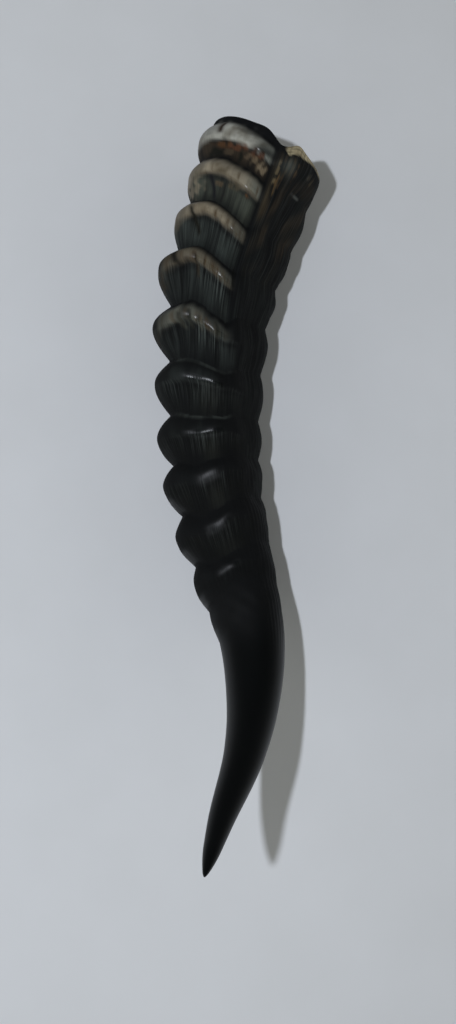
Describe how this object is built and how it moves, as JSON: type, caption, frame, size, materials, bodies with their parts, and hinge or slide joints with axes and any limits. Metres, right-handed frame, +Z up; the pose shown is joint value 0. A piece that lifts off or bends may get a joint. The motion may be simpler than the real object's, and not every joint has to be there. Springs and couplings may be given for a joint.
{
  "type": "blesbok horn",
  "caption": "Hollow S-curved antelope horn, ringed at its front, with a sawn open base and a smooth raised tip; lies on its outer side as decor or craft stock.",
  "frame": {"origin": "middle of the box's bottom, on the surface that the horn lies on", "axes": "+Z up; +Y from the tip to the base; -X towards the horn's front, where the rings are strongest"},
  "size_m": [0.0743, 0.3317, 0.0921],
  "materials": {
    "keratin": "polished dark keratin, pale and brown on the ring crests near the base"
  },
  "bodies": {
    "root": {"horn": "keratin"}
  },
  "joints": []
}
